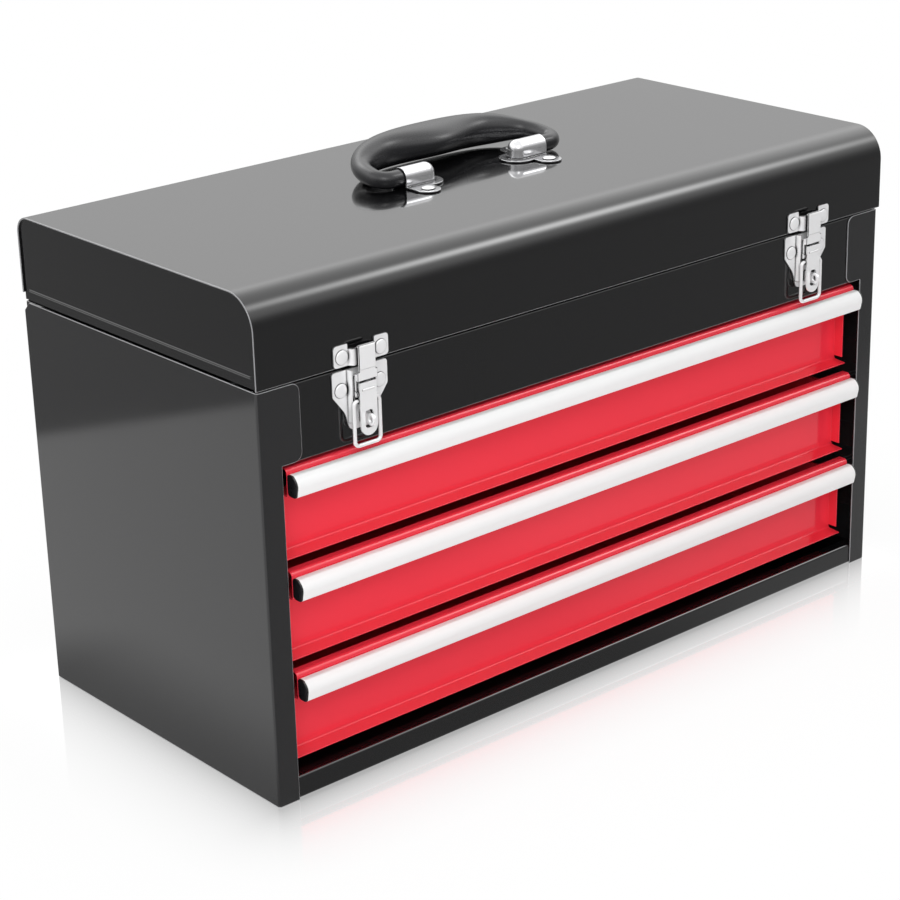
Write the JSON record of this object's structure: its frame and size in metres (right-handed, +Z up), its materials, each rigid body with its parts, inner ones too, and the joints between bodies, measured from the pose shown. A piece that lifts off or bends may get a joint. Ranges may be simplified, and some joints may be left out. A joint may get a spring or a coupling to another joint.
{
  "type": "portable tool box with drawers",
  "caption": "Portable sheet steel tool box with drawers, a hinged lid over a top compartment, two draw latches and a folding carrying handle.",
  "frame": {"origin": "on the floor under the middle of the cabinet", "axes": "+X along the width, to the right seen from the front; +Y to the back; +Z up; the drawers face -Y"},
  "size_m": [0.522, 0.2555, 0.3347],
  "materials": {
    "black_enamel": "gloss enamel",
    "red_enamel": "gloss enamel",
    "trim_aluminium": "satin",
    "chrome": "bright plated",
    "zinc_steel": "zinc plated",
    "black_plastic": "satin moulded"
  },
  "bodies": {
    "cabinet": {"left_side_panel": "black_enamel", "right_side_panel": "black_enamel", "back_panel": "black_enamel", "bottom_pan": "black_enamel", "front_panel": "black_enamel", "compartment_floor": "black_enamel", "runner_1_left": "zinc_steel", "runner_1_right": "zinc_steel", "runner_2_left": "zinc_steel", "runner_2_right": "zinc_steel", "runner_3_left": "zinc_steel", "runner_3_right": "zinc_steel", "hinge_body_leaf": "zinc_steel", "hinge_pin": "zinc_steel", "latch_base_left": "chrome", "lever_pin_left": "zinc_steel", "staple_left": "chrome", "latch_base_right": "chrome", "lever_pin_right": "zinc_steel", "staple_right": "chrome", "base_rivets": "chrome"},
    "lid": {"lid_shell": "black_enamel", "lid_left_end": "black_enamel", "lid_right_end": "black_enamel", "hinge_lid_leaf": "zinc_steel", "keeper_left": "chrome", "keeper_right": "chrome", "handle_bracket_left": "chrome", "handle_bracket_right": "chrome", "handle_rivets": "chrome", "keeper_rivets": "chrome"},
    "drawer_1": {"drawer_1_front": "red_enamel", "drawer_1_tray": "red_enamel", "drawer_1_pull": "trim_aluminium", "drawer_1_plugs": "black_plastic"},
    "drawer_2": {"drawer_2_front": "red_enamel", "drawer_2_tray": "red_enamel", "drawer_2_pull": "trim_aluminium", "drawer_2_plugs": "black_plastic"},
    "drawer_3": {"drawer_3_front": "red_enamel", "drawer_3_tray": "red_enamel", "drawer_3_pull": "trim_aluminium", "drawer_3_plugs": "black_plastic"},
    "lever_left": {"latch_lever_left": "chrome", "hook_pin_left": "zinc_steel"},
    "hook_left": {"latch_hook_left": "chrome"},
    "bail_left": {"latch_bail_left": "chrome"},
    "lever_right": {"latch_lever_right": "chrome", "hook_pin_right": "zinc_steel"},
    "hook_right": {"latch_hook_right": "chrome"},
    "bail_right": {"latch_bail_right": "chrome"},
    "carry_handle": {"handle": "black_plastic"}
  },
  "joints": [
    {"name": "lid_hinge", "type": "hinge", "parent": "cabinet", "child": "lid", "pos_m": [0, 0.1215, 0.26], "axis": [-1, 0, 0], "range_deg": [0, 100]},
    {"name": "drawer_1_slide", "type": "slide", "parent": "cabinet", "child": "drawer_1", "axis": [0, -1, 0], "range_m": [0, 0.17]},
    {"name": "drawer_2_slide", "type": "slide", "parent": "cabinet", "child": "drawer_2", "axis": [0, -1, 0], "range_m": [0, 0.17]},
    {"name": "drawer_3_slide", "type": "slide", "parent": "cabinet", "child": "drawer_3", "axis": [0, -1, 0], "range_m": [0, 0.17]},
    {"name": "lever_left_hinge", "type": "hinge", "parent": "cabinet", "child": "lever_left", "pos_m": [-0.188, -0.1232, 0.2448], "axis": [-1, 0, 0], "range_deg": [0, 90]},
    {"name": "hook_left_hinge", "type": "hinge", "parent": "lever_left", "child": "hook_left", "pos_m": [-0.188, -0.1232, 0.2406], "axis": [-1, 0, 0], "range_deg": [-90, 0]},
    {"name": "bail_left_hinge", "type": "hinge", "parent": "lever_left", "child": "bail_left", "pos_m": [-0.188, -0.1242, 0.2367], "axis": [-1, 0, 0], "range_deg": [0, 100]},
    {"name": "lever_right_hinge", "type": "hinge", "parent": "cabinet", "child": "lever_right", "pos_m": [0.188, -0.1232, 0.2448], "axis": [-1, 0, 0], "range_deg": [0, 90]},
    {"name": "hook_right_hinge", "type": "hinge", "parent": "lever_right", "child": "hook_right", "pos_m": [0.188, -0.1232, 0.2406], "axis": [-1, 0, 0], "range_deg": [-90, 0]},
    {"name": "bail_right_hinge", "type": "hinge", "parent": "lever_right", "child": "bail_right", "pos_m": [0.188, -0.1242, 0.2367], "axis": [-1, 0, 0], "range_deg": [0, 100]},
    {"name": "handle_hinge", "type": "hinge", "parent": "lid", "child": "carry_handle", "pos_m": [0, -0.003, 0.3173], "axis": [1, 0, 0], "range_deg": [0, 162]}
  ],
  "couplings": [
    {"joint": "hook_left_hinge", "follows": "lever_left_hinge", "ratio": -1},
    {"joint": "hook_right_hinge", "follows": "lever_right_hinge", "ratio": -1}
  ]
}
